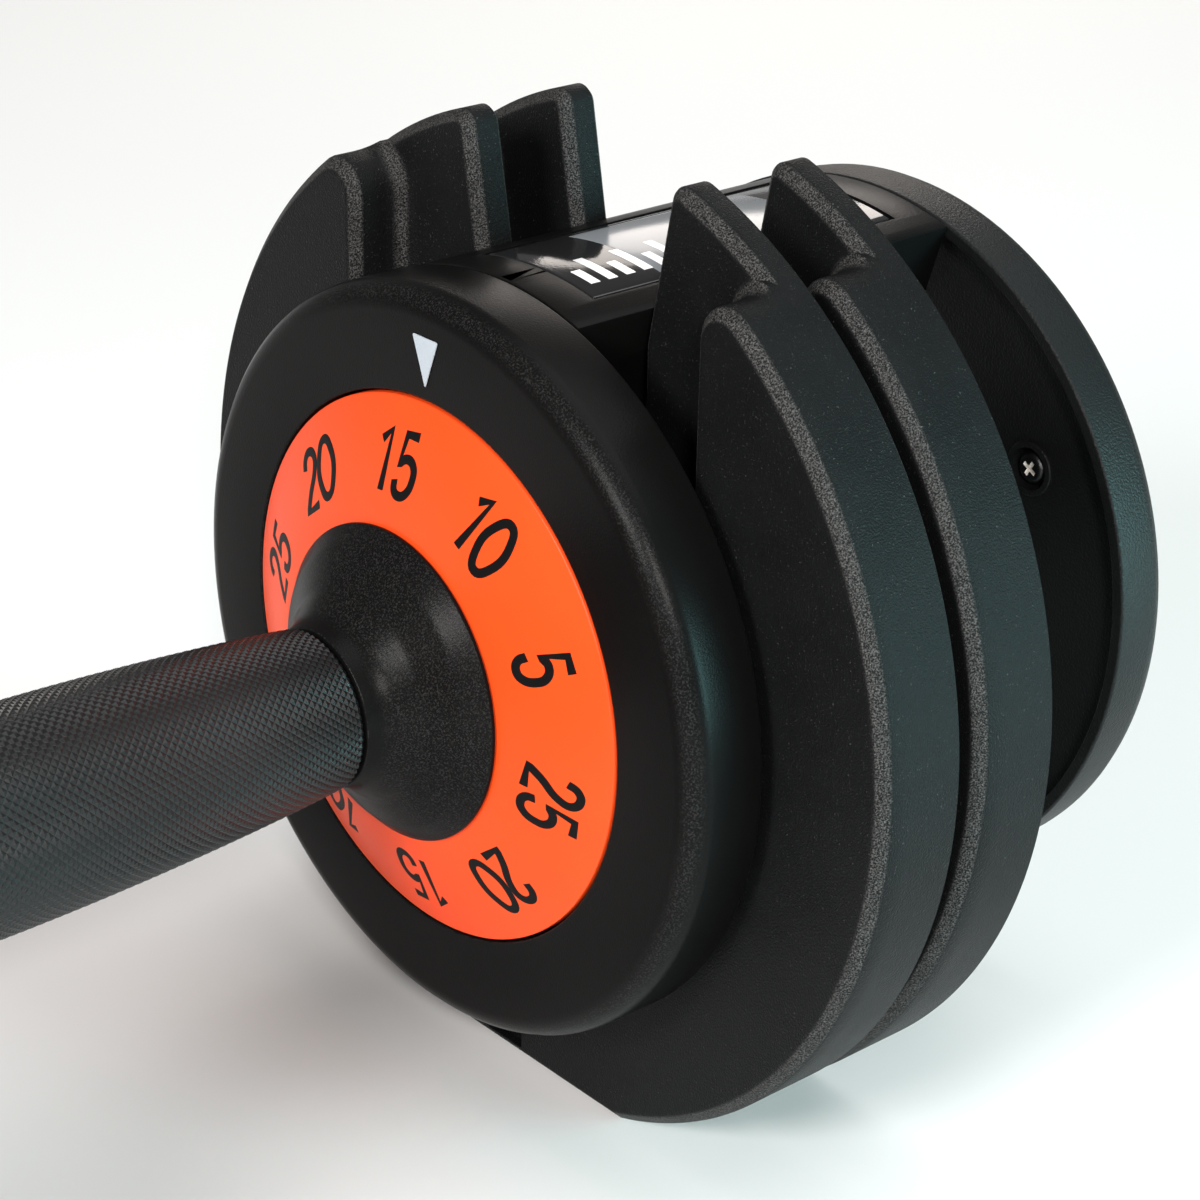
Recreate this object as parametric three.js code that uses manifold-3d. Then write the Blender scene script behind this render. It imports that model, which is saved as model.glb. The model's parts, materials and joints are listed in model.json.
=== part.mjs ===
// Adjustable dumbbell set to its middle weight: two plates carried on each head.
//
// Millimetres, +Z up. The handle's axis lies along X, midway between the heads, and the part
// stands on the flats of its plates, with the origin on the floor under the grip's middle.
// A head is drawn with x counted outwards from its dial plane and y, z from the axis; the left
// head is the mirror image of the right one.

import * as THREE from 'three';
import { mergeVertices } from 'three/addons/utils/BufferGeometryUtils.js';
import Module from 'manifold-3d';

const wasm = await Module();
wasm.setup();

// ---------------------------------------------------------------- driving dimensions

const GAP = 0.3; // between pieces that touch, and round every screw in its hole

const AXIS_HEIGHT = 69.3; // handle axis above the plates' flats
const GRIP_HALF_LENGTH = 60;
const GRIP_END_TO_DIAL = 19.3;
const DIAL_PLANE = GRIP_HALF_LENGTH + GRIP_END_TO_DIAL;

// handle: a fixed bar inside a turning tube
const BAR_RADIUS = 4;
const BAR_FLAT = 3.4; // half the width across the flats that key the bar's ends
const TUBE = { inner: 7.7, outer: 9.7, end: 12.9 };
const ON_TUBE = TUBE.outer + GAP; // bore of whatever is pushed onto the tube
const GRIP = { endRadius: 11.4, midRadius: 14.6 };
const COLLAR = { neckX: -19, neckRadius: 11.2, rimX: -6.8, rimRadius: 23, baseX: -6.3 };
const DIAL = { radius: 39.9, rise: 6, riseRadius: 24, hubRadius: 11.4, thick: 2.2 };
const SETTINGS = 10; // stations round the dial, two turns of five weights

// discs and bridge
const DISC = { radius: 55.3, round: 3.8, wall: 2.3 };
const COVER = { depth: 12.3, window: 40.3, floor: 2.4 };
const CUP = { mouth: 83.5, web: 88, back: 90.2, face: 94, recess: 49.3 };
const BRIDGE = { halfAngle: 17.6, depth: 18, wall: 2.4, start: 12.6, end: 83.2 };
const LUG = { length: 5.6, inner: 12.6, outer: 15.7, bottom: 42.6, top: 44.8 }; // on the bridge's sides
const LABEL = { halfAngle: 12.4, start: 19.2, end: 78, sink: 1.2 };

// plates and their slots
const PLATE = {
  radius: 74.4, centreZ: 0.8, near: 15, web: 23.6, far: 29.7, pitch: 17.84, chamfer: 1.7,
};
const SLOT = { half: 16.6, leanFrom: 48.6, hornHalf: 20.6, hornZ: 70.4, hornRound: 2.6 };
const POCKET = { half: 36, bottom: -18, cornerRound: 5 };
const TAB = { half: 3.3, top: -9.2, bottom: -12.1, reach: 5.6 };

// the selectors on their sleeve
const SELECTOR = { x: 15.6, web: 1.8, length: 7, outer: 15.9, inner: 12.9, hub: 8.6 };
const SLEEVE = { radius: 7.2, flat: 6.4, bore: 4.4, plug: 7.4, plugStart: -12, end: 85.8 };
const SLEEVE_FLATS_FROM = 14.9;
const RELEASE_HALF_ANGLE = 17; // half of the gap that lets a plate's tab through
const HELD_PLATES = [2, 1, 0, 4, 3]; // plates held at stations 15, 10, 5, 25, 20

const SCREW_CIRCLE = 37; // the end cover's three screws
const BRIDGE_SCREW = { radius: 48, halfAngle: 9 };
const DETENT = { radius: 33, ball: 2.4, ballX: 2.5, springEnd: 9.6 };

// ---------------------------------------------------------------- materials

const finish = (color, roughness, metalness = 0) =>
  new THREE.MeshStandardMaterial({ color, roughness, metalness });

const blackPlastic = finish(0x161718, 0.5);
const orangePlastic = finish(0xff5a2a, 0.35);
const blackNylon = finish(0x191a1b, 0.55);
const gripRubber = finish(0x1c1d1e, 0.8);
const castIron = finish(0x1a1c1c, 0.75, 0.2);
const labelFilm = finish(0x2a2b2d, 0.15);
const brightSteel = finish(0xb4b6b8, 0.35, 1);
const darkSteel = finish(0x4a4c4f, 0.45, 1);

// ---------------------------------------------------------------- solids

const rad = THREE.MathUtils.degToRad;
const ALONG_X = new THREE.Matrix4().makeBasis(
  new THREE.Vector3(0, 1, 0), new THREE.Vector3(0, 0, 1), new THREE.Vector3(1, 0, 0));

// A three.js geometry as a manifold: doubles merged, slivers dropped, faces pointing out.
function solid(geometry) {
  const bare = geometry.clone();
  bare.deleteAttribute('normal');
  bare.deleteAttribute('uv');
  const merged = mergeVertices(bare, 1e-4);
  const p = merged.attributes.position.array;
  const index = merged.index.array;
  const faces = [];
  let volume = 0;
  for (let i = 0; i < index.length; i += 3) {
    const [a, b, c] = [index[i], index[i + 1], index[i + 2]];
    if (a === b || b === c || c === a) continue;
    faces.push(a, b, c);
    volume += p[3 * a] * (p[3 * b + 1] * p[3 * c + 2] - p[3 * b + 2] * p[3 * c + 1])
      + p[3 * a + 1] * (p[3 * b + 2] * p[3 * c] - p[3 * b] * p[3 * c + 2])
      + p[3 * a + 2] * (p[3 * b] * p[3 * c + 1] - p[3 * b + 1] * p[3 * c]);
  }
  if (volume < 0) {
    for (let i = 0; i < faces.length; i += 3) {
      [faces[i], faces[i + 1]] = [faces[i + 1], faces[i]];
    }
  }
  return new wasm.Manifold(new wasm.Mesh({
    numProp: 3, vertProperties: new Float32Array(p), triVerts: new Uint32Array(faces),
  }));
}

function geometryOf(manifold) {
  const mesh = manifold.getMesh();
  const geometry = new THREE.BufferGeometry();
  geometry.setAttribute('position', new THREE.BufferAttribute(mesh.vertProperties.slice(), 3));
  geometry.setIndex(new THREE.BufferAttribute(mesh.triVerts.slice(), 1));
  return geometry;
}

// A profile of [x, radius] points turned round the X axis. It closes on itself.
function turned(profile, segments = 32) {
  const points = [...profile, profile[0]].map(([x, r]) => new THREE.Vector2(r, x));
  return solid(new THREE.LatheGeometry(points, segments).rotateZ(-Math.PI / 2));
}

const rod = (x0, x1, radius, segments = 12) =>
  turned([[x0, 0], [x0, radius], [x1, radius], [x1, 0]], segments);

const ring = (x0, x1, inner, outer, segments = 24) =>
  turned([[x0, inner], [x0, outer], [x1, outer], [x1, inner]], segments);

// A shape drawn in y, z and pulled along X.
function extruded(shape, x0, x1, curveSegments = 24) {
  const geometry = new THREE.ExtrudeGeometry(shape, {
    depth: x1 - x0, bevelEnabled: false, curveSegments,
  });
  return solid(geometry.applyMatrix4(ALONG_X).translate(x0, 0, 0));
}

const block = ([x0, x1], [y0, y1], [z0, z1]) =>
  solid(new THREE.BoxGeometry(x1 - x0, y1 - y0, z1 - z0)
    .translate((x0 + x1) / 2, (y0 + y1) / 2, (z0 + z1) / 2));

// A rod with two flats, as a key or as the hole for one.
const keyedRod = (x0, x1, radius, flat) =>
  rod(x0, x1, radius, 20).intersect(block([x0 - 1, x1 + 1], [-flat, flat], [-radius - 1, radius + 1]));

const centred = (manifold, y, z) => manifold.translate([0, y, z]);

// A slice of a tube round the axis, its middle at the top, angles in degrees from the top.
function sector(x0, x1, inner, outer, from, to) {
  const shape = new THREE.Shape();
  const up = Math.PI / 2;
  shape.absarc(0, 0, outer, up + rad(from), up + rad(to), false);
  shape.absarc(0, 0, inner, up + rad(to), up + rad(from), true);
  shape.closePath();
  return extruded(shape, x0, x1, Math.max(4, Math.ceil((to - from) / 7)));
}

// The quarter round of radius r that ends a disc's rim, from its cylinder to its face.
function rimRound(x, radius, r, direction, steps = 2) {
  return Array.from({ length: steps + 1 }, (_, i) => {
    const a = (i / steps) * Math.PI / 2;
    return [x + direction * r * Math.sin(a), radius - r + r * Math.cos(a)];
  });
}

// ---------------------------------------------------------------- handle

function grip() {
  const steps = 8;
  const barrel = Array.from({ length: steps + 1 }, (_, i) => {
    const x = -GRIP_HALF_LENGTH + (2 * GRIP_HALF_LENGTH * i) / steps;
    const swell = Math.cos((x / GRIP_HALF_LENGTH) * Math.PI / 2) ** 0.8;
    return [x, GRIP.endRadius + (GRIP.midRadius - GRIP.endRadius) * swell];
  });
  return turned([[-GRIP_HALF_LENGTH, ON_TUBE], ...barrel, [GRIP_HALF_LENGTH, ON_TUBE]], 24);
}

const handleTube = () => ring(-DIAL_PLANE - TUBE.end, DIAL_PLANE + TUBE.end, TUBE.inner, TUBE.outer);

// The bar carries both heads and keeps them in line: flats key its ends, a bolt draws them up.
function coreBar() {
  const end = DIAL_PLANE + CUP.web + 0.2;
  const shoulder = DIAL_PLANE + CUP.web - 2;
  const thread = { radius: 2.3, depth: 14 };
  return rod(-shoulder, shoulder, BAR_RADIUS, 20)
    .add(keyedRod(-end, end, BAR_RADIUS, BAR_FLAT))
    .subtract(rod(end - thread.depth, end + 1, thread.radius, 10))
    .subtract(rod(-end - 1, -end + thread.depth, thread.radius, 10));
}

// The trumpet that closes the grip's end against the dial.
function collar() {
  const shoulder = [[COLLAR.rimX, COLLAR.rimRadius], [-9.2, 21], [-12.2, 16.6], [-15.2, 13]];
  return turned([[COLLAR.baseX, ON_TUBE], [COLLAR.baseX, COLLAR.rimRadius], ...shoulder,
    [COLLAR.neckX, COLLAR.neckRadius], [COLLAR.neckX, ON_TUBE]], 24);
}

// The shallow cone that carries the weights, with a dimple behind each for the detent ball.
function dial() {
  const body = turned([[-DIAL.rise, ON_TUBE], [-DIAL.rise, DIAL.riseRadius], [0, DIAL.radius],
    [DIAL.thick, DIAL.radius], [-DIAL.rise + DIAL.thick, DIAL.riseRadius],
    [-DIAL.rise + DIAL.thick, DIAL.hubRadius], [TUBE.end, DIAL.hubRadius], [TUBE.end, ON_TUBE]]);
  const slope = DIAL.rise / (DIAL.radius - DIAL.riseRadius);
  const backX = DIAL.thick - slope * (DIAL.radius - DETENT.radius);
  let cut = body;
  for (let i = 0; i < SETTINGS; i += 1) {
    const dimple = centred(turned([[backX - 0.6, 0], [backX - 0.6, 0.5], [backX + 1.2, 2],
      [backX + 1.2, 0]], 4), 0, DETENT.radius);
    cut = cut.subtract(dimple.rotate([(360 / SETTINGS) * i, 0, 0]));
  }
  return cut;
}

// ---------------------------------------------------------------- discs and bridge

const onCircle = (radius, degrees) => [-radius * Math.sin(rad(degrees)), radius * Math.cos(rad(degrees))];
const BRIDGE_SCREWS = [-1, 1].map((side) => onCircle(BRIDGE_SCREW.radius, side * BRIDGE_SCREW.halfAngle));
const END_SCREWS = [60, 180, 300].map((degrees) => onCircle(SCREW_CIRCLE, degrees));
const BOSS_RADIUS = 3;
const SCREW_HOLE = 1.5;

// The disc beside the grip: a cap with a round well for the dial, screwed to the bridge.
function innerCover() {
  const { radius, round, wall } = DISC;
  const wellWall = COVER.window + wall;
  const inside = radius - wall;
  let body = turned([[0, COVER.window], ...rimRound(round, radius, round, -1).reverse(),
    [COVER.depth, radius], [COVER.depth, inside], [wall + 2, inside], [wall, inside - 2],
    [wall, wellWall], [COVER.depth, wellWall], [COVER.depth, 14.5], [COVER.depth - COVER.floor, 14.5],
    [COVER.depth - COVER.floor, COVER.window]]);
  for (const [y, z] of BRIDGE_SCREWS) {
    body = body.add(centred(rod(wall - 0.5, COVER.depth, BOSS_RADIUS, 10), y, z))
      .subtract(centred(rod(5, COVER.depth + 1, SCREW_HOLE, 8), y, z));
  }
  const post = { outer: 4.2, inner: 2.7, from: 4 };
  return body
    .add(centred(rod(post.from, COVER.depth - 1, post.outer, 10), 0, -DETENT.radius))
    .subtract(centred(rod(post.from - 1, DETENT.springEnd + GAP, post.inner, 10), 0, -DETENT.radius));
}

// A cast ring hidden in the cover's channel, cut away round the two screw bosses. It is ballast.
function ballastRing() {
  const front = DISC.wall + GAP;
  const back = COVER.depth - GAP;
  const inner = COVER.window + DISC.wall + GAP;
  const outer = DISC.radius - DISC.wall - GAP;
  let body = turned([[front, inner], [front, outer - 2.2], [front + 2.2, outer], [back, outer],
    [back, inner]]);
  for (const [y, z] of BRIDGE_SCREWS) {
    body = body.subtract(centred(rod(front - 1, back + 1, BOSS_RADIUS + GAP, 10), y, z));
  }
  return body;
}

// The flanged ring that the dial's hub turns in.
const coverBush = () => turned([[8.3, 11.7], [8.3, 17], [9.6, 17], [9.6, 14.2], [12.5, 14.2], [12.5, 11.7]], 20);

const detentBall = () => solid(new THREE.SphereGeometry(DETENT.ball, 10, 6)
  .translate(DETENT.ballX, 0, -DETENT.radius));

const detentSpring = () => centred(ring(5.8, DETENT.springEnd, 1.5, 2.3, 10), 0, -DETENT.radius);

// The spine over the plates: a channel between the two discs, sunk on top for its label, with a
// small lug on each side beside the inner disc.
function bridge() {
  const { halfAngle, depth, wall, start, end } = BRIDGE;
  const inner = DISC.radius - depth;
  const wallAngle = THREE.MathUtils.radToDeg(wall / (DISC.radius - depth / 2));
  const free = halfAngle - wallAngle;
  let body = sector(start, end, inner, DISC.radius, -halfAngle, halfAngle)
    .subtract(sector(start + wall, end - wall, inner - 1, DISC.radius - wall - 0.4, -free, free))
    .subtract(sector(LABEL.start, LABEL.end, DISC.radius - LABEL.sink, DISC.radius + 1,
      -LABEL.halfAngle, LABEL.halfAngle));
  for (const sides of [[LUG.inner, LUG.outer], [-LUG.outer, -LUG.inner]]) {
    body = body.add(block([start, start + LUG.length], sides, [LUG.bottom, LUG.top]));
  }
  for (const [y, z] of BRIDGE_SCREWS) {
    body = body.subtract(centred(rod(start - 1, start + wall + 1, SCREW_HOLE, 8), y, z))
      .subtract(centred(rod(end - wall - 1, end + 1, SCREW_HOLE, 8), y, z));
  }
  return body;
}

function label() {
  const under = DISC.radius - LABEL.sink + GAP;
  const edge = LABEL.halfAngle - 0.4;
  return sector(LABEL.start + GAP, LABEL.end - GAP, under, DISC.radius - 0.1, -edge, edge);
}

// The outer disc: a cup open towards the plates, keyed and bolted to the bar.
function outerCup() {
  const { radius, round, wall } = DISC;
  const hub = { face: CUP.web - 1.7, back: CUP.web + 0.6, radius: 10, recess: 8 };
  let body = turned([[hub.face, 2], [hub.face, hub.radius], [CUP.web, hub.radius],
    [CUP.web, radius - wall], [CUP.mouth, radius - wall + 0.3], [CUP.mouth, radius],
    ...rimRound(CUP.face - round, radius, round, 1),
    [CUP.face, CUP.recess], [CUP.back, CUP.recess], [CUP.back, hub.recess],
    [hub.back, hub.recess], [hub.back, 2]]);
  body = body.subtract(keyedRod(hub.face - 1, hub.back + 1, BAR_RADIUS + GAP, BAR_FLAT + GAP));
  for (const [y, z] of BRIDGE_SCREWS) {
    body = body.add(centred(rod(CUP.mouth, CUP.web + 1, BOSS_RADIUS, 10), y, z))
      .subtract(centred(rod(CUP.mouth - 1, CUP.back - 0.8, SCREW_HOLE, 8), y, z));
  }
  for (const [y, z] of END_SCREWS) {
    body = body.subtract(centred(rod(CUP.web - 1, CUP.web + 1.3, 3.2, 12), y, z))
      .subtract(centred(rod(CUP.web, CUP.back + 1, SCREW_HOLE + 0.1, 8), y, z));
  }
  return body;
}

// The plain lid over the cup's back, held by three screws from inside the cup.
function endCover() {
  const edge = CUP.recess - GAP;
  const seat = CUP.back + GAP;
  const inside = CUP.face - 1.6;
  let body = turned([[inside, 0], [inside, edge - 2.2], [seat, edge - 2.2], [seat, edge],
    [CUP.face, edge], [CUP.face, 0]], 28);
  for (const [y, z] of END_SCREWS) {
    body = body.add(centred(rod(seat, inside + 0.5, BOSS_RADIUS, 10), y, z))
      .subtract(centred(rod(seat - 1, CUP.face - 0.8, SCREW_HOLE, 8), y, z));
  }
  return body;
}

// A pan-head screw whose head starts at x and whose shank runs in direction.
function screw(x, direction, shankEnd, headRadius = 2.4, headHeight = 1.8, shankRadius = 1.2) {
  const under = x + direction * headHeight;
  return turned([[x, 0], [x, headRadius * 0.6], [x + direction * headHeight * 0.5, headRadius],
    [under, headRadius], [under, shankRadius], [shankEnd, shankRadius], [shankEnd, 0]], 8);
}

const axleWasher = () => ring(CUP.web + 0.9, CUP.web + 1.6, 2.3, 6, 16);

function axleBolt() {
  const under = CUP.web + 1.9;
  const head = { radius: 4.2, height: 2.1 };
  return turned([[CUP.web - 11, 0], [CUP.web - 11, 2], [under, 2], [under, head.radius],
    [under + head.height * 0.6, head.radius], [under + head.height, head.radius * 0.6],
    [under + head.height, 0]], 16);
}

// ---------------------------------------------------------------- plates

// A slot open at the top: straight sides with a round bottom, then sides that lean outwards.
function funnel(half, bottomZ, leanFrom, leanHalf, leanZ) {
  const above = PLATE.radius + 12;
  const wide = leanHalf + ((above - leanZ) * (leanHalf - half)) / (leanZ - leanFrom);
  const shape = new THREE.Shape();
  shape.moveTo(wide, above);
  shape.lineTo(-wide, above);
  shape.lineTo(-half, leanFrom);
  shape.lineTo(-half, bottomZ);
  shape.absarc(0, bottomZ, half, Math.PI, 2 * Math.PI, false);
  shape.lineTo(half, leanFrom);
  shape.closePath();
  return shape;
}

// Rounds an upper corner of a plate: the sliver outside a circle that touches wall and rim.
function cornerRounding(x0, x1, wallPoint, lean, round) {
  const { radius, centreZ } = PLATE;
  const away = new THREE.Vector2(Math.cos(lean), -Math.sin(lean));
  const along = new THREE.Vector2(Math.sin(lean), Math.cos(lean));
  const start = wallPoint.clone().addScaledVector(away, round).sub(new THREE.Vector2(0, centreZ));
  const b = start.dot(along);
  const reach = -b + Math.sqrt(b * b - start.lengthSq() + (radius - round) ** 2);
  const centre = start.clone().addScaledVector(along, reach).add(new THREE.Vector2(0, centreZ));
  const onWall = centre.clone().addScaledVector(away, -round);
  const outwards = centre.clone().sub(new THREE.Vector2(0, centreZ)).normalize();
  const onRim = centre.clone().addScaledVector(outwards, round);
  const shape = new THREE.Shape();
  shape.moveTo(onWall.x - away.x * 2, onWall.y - away.y * 2);
  shape.lineTo(onWall.x, onWall.y);
  shape.absarc(centre.x, centre.y, round, Math.atan2(-away.y, -away.x),
    Math.atan2(outwards.y, outwards.x), true);
  shape.lineTo(onRim.x + outwards.x * 2, onRim.y + outwards.y * 2);
  shape.lineTo(onWall.x - away.x * 2 + along.x * 14, onWall.y - away.y * 2 + along.y * 14);
  shape.closePath();
  const right = extruded(shape, x0, x1, 4);
  return right.add(mirrored(right, 1));
}

// The mirror image of a solid across the plane at 0 on one axis.
function mirrored(manifold, axis) {
  const geometry = geometryOf(manifold);
  const signs = [1, 1, 1];
  signs[axis] = -1;
  return solid(geometry.applyMatrix4(new THREE.Matrix4().makeScale(...signs)));
}

// A round blank with chamfered rims and a flat to stand on.
function plateBlank() {
  const { near, far, radius, centreZ, chamfer } = PLATE;
  const rims = turned([[near, 0], [near, radius - chamfer], [near + chamfer, radius],
    [far - chamfer, radius], [far, radius - chamfer], [far, 0]], 56);
  const below = block([near - 1, far + 1], [-radius, radius], [-radius - 10, -AXIS_HEIGHT]);
  return centred(rims, 0, centreZ).subtract(below);
}

// A cast plate: a thin web with two horns beside its slot, thickened round the rim on the side
// towards the grip, and a tab in the slot's bottom that hangs on the selector's rim.
function plate() {
  const { near, web, far } = PLATE;
  const lean = Math.atan2(SLOT.hornHalf - SLOT.half, SLOT.hornZ - SLOT.leanFrom);
  const slot = funnel(SLOT.half, 0, SLOT.leanFrom, SLOT.hornHalf, SLOT.hornZ);
  const pocket = funnel(POCKET.half, POCKET.bottom, SLOT.leanFrom, POCKET.half, SLOT.hornZ);
  const wallFoot = new THREE.Vector2(SLOT.half, SLOT.leanFrom);
  const pocketWall = new THREE.Vector2(POCKET.half, SLOT.leanFrom);
  const stem = block([web, far], [-TAB.half, TAB.half], [-SLOT.half - 1, TAB.top]);
  const tab = block([web - TAB.reach, web + 1], [-TAB.half, TAB.half], [TAB.bottom, TAB.top]);
  return plateBlank()
    .subtract(extruded(pocket, near - 1, web, 16))
    .subtract(cornerRounding(near - 1, web, pocketWall, 0, POCKET.cornerRound))
    .subtract(extruded(slot, web - 1, far + 1, 16))
    .subtract(cornerRounding(web, far + 1, wallFoot, lean, SLOT.hornRound))
    .add(stem)
    .add(tab);
}

// ---------------------------------------------------------------- selectors

// A selector turns with the dial. Its rim passes under the plate's tab and carries the plate;
// the rim is cut away at the stations whose weight leaves this plate behind.
function selector(number) {
  const { x, web, length, outer, inner, hub } = SELECTOR;
  const last = number === 4;
  const hubEnd = last ? SLEEVE.end - 1.8 - PLATE.pitch * (number - 1) : x + PLATE.pitch - GAP;
  let body = turned([[x, 6], [x, outer], [x + length, outer], [x + length, inner],
    [x + web, inner], [x + web, hub], [hubEnd, hub], [hubEnd, 6]], 20)
    .subtract(keyedRod(x - 1, hubEnd + 1, SLEEVE.radius + GAP, SLEEVE.flat + GAP));
  for (let station = 0; station < SETTINGS; station += 1) {
    if (HELD_PLATES[station % HELD_PLATES.length] < number) {
      const angle = (360 / SETTINGS) * station;
      body = body.subtract(sector(x + web + 0.2, x + length + 1, inner - 1, outer + 1,
        angle - RELEASE_HALF_ANGLE, angle + RELEASE_HALF_ANGLE));
    }
  }
  return body.translate([PLATE.pitch * (number - 1), 0, 0]);
}

// The sleeve is plugged into the handle tube and turns the selectors by its two flats.
function driveSleeve() {
  const { radius, flat, bore, plug, plugStart, end } = SLEEVE;
  const outer = turned([[plugStart, 2], [plugStart, plug], [SLEEVE_FLATS_FROM, plug],
    [SLEEVE_FLATS_FROM, 2]], 20);
  return outer.add(keyedRod(SLEEVE_FLATS_FROM - 1, end, radius, flat))
    .subtract(rod(plugStart - 1, end + 1, bore, 20));
}

const retainingRing = () => ring(SLEEVE.end - 1.5, SLEEVE.end - 0.6, SLEEVE.radius + GAP, 9.6, 16);

// ---------------------------------------------------------------- assembly

const dumbbell = new THREE.Group();
dumbbell.name = 'adjustable_dumbbell';
const axis = new THREE.Group();
axis.position.z = AXIS_HEIGHT;
dumbbell.add(axis);

function place(name, manifold, material, parent = axis) {
  const mesh = new THREE.Mesh(geometryOf(manifold), material);
  mesh.name = name;
  parent.add(mesh);
}

place('core_bar', coreBar(), darkSteel);
place('handle_tube', handleTube(), brightSteel);
place('grip', grip(), gripRubber);

const headPieces = [
  ['collar', collar(), blackPlastic],
  ['dial', dial(), orangePlastic],
  ['inner_cover', innerCover(), blackPlastic],
  ['ballast_ring', ballastRing(), castIron],
  ['cover_bush', coverBush(), blackNylon],
  ['detent_ball', detentBall(), brightSteel],
  ['detent_spring', detentSpring(), brightSteel],
  ['bridge', bridge(), blackPlastic],
  ['label', label(), labelFilm],
  ['outer_cup', outerCup(), blackPlastic],
  ['end_cover', endCover(), blackPlastic],
  ['axle_washer', axleWasher(), brightSteel],
  ['axle_bolt', axleBolt(), brightSteel],
  ['drive_sleeve', driveSleeve(), blackNylon],
  ['retaining_ring', retainingRing(), darkSteel],
];
BRIDGE_SCREWS.forEach(([y, z], i) => {
  const inboard = screw(BRIDGE.start + BRIDGE.wall + GAP + 1.8, -1, 5.5);
  const outboard = screw(BRIDGE.end - BRIDGE.wall - GAP - 1.8, 1, CUP.back - 1.2);
  headPieces.push([`bridge_screw_inboard_${i + 1}`, centred(inboard, y, z), darkSteel]);
  headPieces.push([`bridge_screw_outboard_${i + 1}`, centred(outboard, y, z), darkSteel]);
});
END_SCREWS.forEach(([y, z], i) => {
  const piece = screw(CUP.web - 0.4, 1, CUP.face - 1.1, 2.9, 1.4, 1.2);
  headPieces.push([`end_cover_screw_${i + 1}`, centred(piece, y, z), brightSteel]);
});
for (const number of [1, 2, 3, 4]) {
  headPieces.push([`selector_${number}`, selector(number), blackNylon]);
}
for (const number of [1, 2]) {
  const piece = plate().translate([PLATE.pitch * (number - 1), 0, 0]);
  headPieces.push([`plate_${number}`, piece, castIron]);
}

for (const [name, piece, material] of headPieces) {
  const right = piece.translate([DIAL_PLANE, 0, 0]);
  place(`${name}_right`, right, material);
  place(`${name}_left`, mirrored(right, 0), material);
}

export default dumbbell;
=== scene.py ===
"""Adjustable dumbbell at its middle setting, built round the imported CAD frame.

Sizes are in millimetres until a piece is placed. A head's pieces are drawn with x counted outwards
from its dial plane and y, z from the handle's axis; the left head mirrors the right one.
"""

import json
import math

import bmesh
import bpy
from mathutils import Matrix, Vector


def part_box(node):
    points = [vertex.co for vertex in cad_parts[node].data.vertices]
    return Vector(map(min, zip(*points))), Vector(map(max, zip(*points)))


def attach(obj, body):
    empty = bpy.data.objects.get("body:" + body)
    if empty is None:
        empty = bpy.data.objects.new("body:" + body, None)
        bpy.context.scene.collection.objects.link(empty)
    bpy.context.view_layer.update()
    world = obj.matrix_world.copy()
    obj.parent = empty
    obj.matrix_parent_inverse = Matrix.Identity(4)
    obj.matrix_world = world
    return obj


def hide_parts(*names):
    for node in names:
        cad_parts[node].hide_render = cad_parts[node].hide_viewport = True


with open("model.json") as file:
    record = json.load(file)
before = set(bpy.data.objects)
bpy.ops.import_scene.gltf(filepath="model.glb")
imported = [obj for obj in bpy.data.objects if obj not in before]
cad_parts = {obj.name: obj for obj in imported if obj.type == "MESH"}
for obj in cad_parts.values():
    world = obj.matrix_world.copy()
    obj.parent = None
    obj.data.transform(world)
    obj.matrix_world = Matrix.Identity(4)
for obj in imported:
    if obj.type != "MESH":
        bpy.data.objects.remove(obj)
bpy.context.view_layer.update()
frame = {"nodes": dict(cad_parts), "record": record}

# ------------------------------------------------------------------ camera, floor and light
# A long lens close over the grip, looking down at the right-hand head from the grip's side. The
# floor is a plain pale sheet. A broad high lamp makes the soft shadow, and a cooler softbox to the
# right draws the pale green sheen down the rims.

MM = 0.001
DIAL_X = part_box("inner_cover_right")[0].x / MM  # the dial plane is the front face of a cover
AXIS_Z = (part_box("core_bar")[0].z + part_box("core_bar")[1].z) / 2 / MM
CAMERA_FROM_DIAL = Vector((-239.6, -308.8, 191.9))
TURN, DIP, ROLL = -41.33, 24.84, 1.2

camera_data = bpy.data.cameras.new("camera")
camera_data.sensor_width = 36
camera_data.lens = 92.9
camera = bpy.data.objects.new("camera", camera_data)
bpy.context.scene.collection.objects.link(camera)
aim = (Matrix.Rotation(math.radians(TURN), 4, "Z")
       @ Matrix.Rotation(math.radians(90 - DIP), 4, "X")
       @ Matrix.Rotation(math.radians(ROLL), 4, "Z"))
camera_spot = (Vector((DIAL_X, 0, AXIS_Z)) + CAMERA_FROM_DIAL) * MM
camera.matrix_world = Matrix.Translation(camera_spot) @ aim
bpy.context.scene.camera = camera


def softbox(name, place, towards, size, watts, colour):
    data = bpy.data.lights.new(name, "AREA")
    data.shape = "DISK"
    data.size = size
    data.energy = watts
    data.color = colour
    light = bpy.data.objects.new(name, data)
    bpy.context.scene.collection.objects.link(light)
    light.location = place
    light.rotation_euler = (Vector(towards) - Vector(place)).to_track_quat("-Z", "Y").to_euler()


HEAD_MIDDLE = (0.12, 0, 0.07)
softbox("cool_side_softbox", (0.5, -0.8, 0.15), HEAD_MIDDLE, 0.42, 11, (0.42, 0.88, 0.9))
softbox("camera_side_softbox", (-0.47, -0.8, 0.6), HEAD_MIDDLE, 0.13, 7, (1, 0.96, 0.92))
softbox("left_softbox", (-0.8, -0.27, 0.62), HEAD_MIDDLE, 0.3, 9, (1, 0.98, 0.96))
softbox("back_softbox", (0.75, 0.6, 0.5), HEAD_MIDDLE, 0.4, 1.6, (1, 0.92, 0.86))

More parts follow.
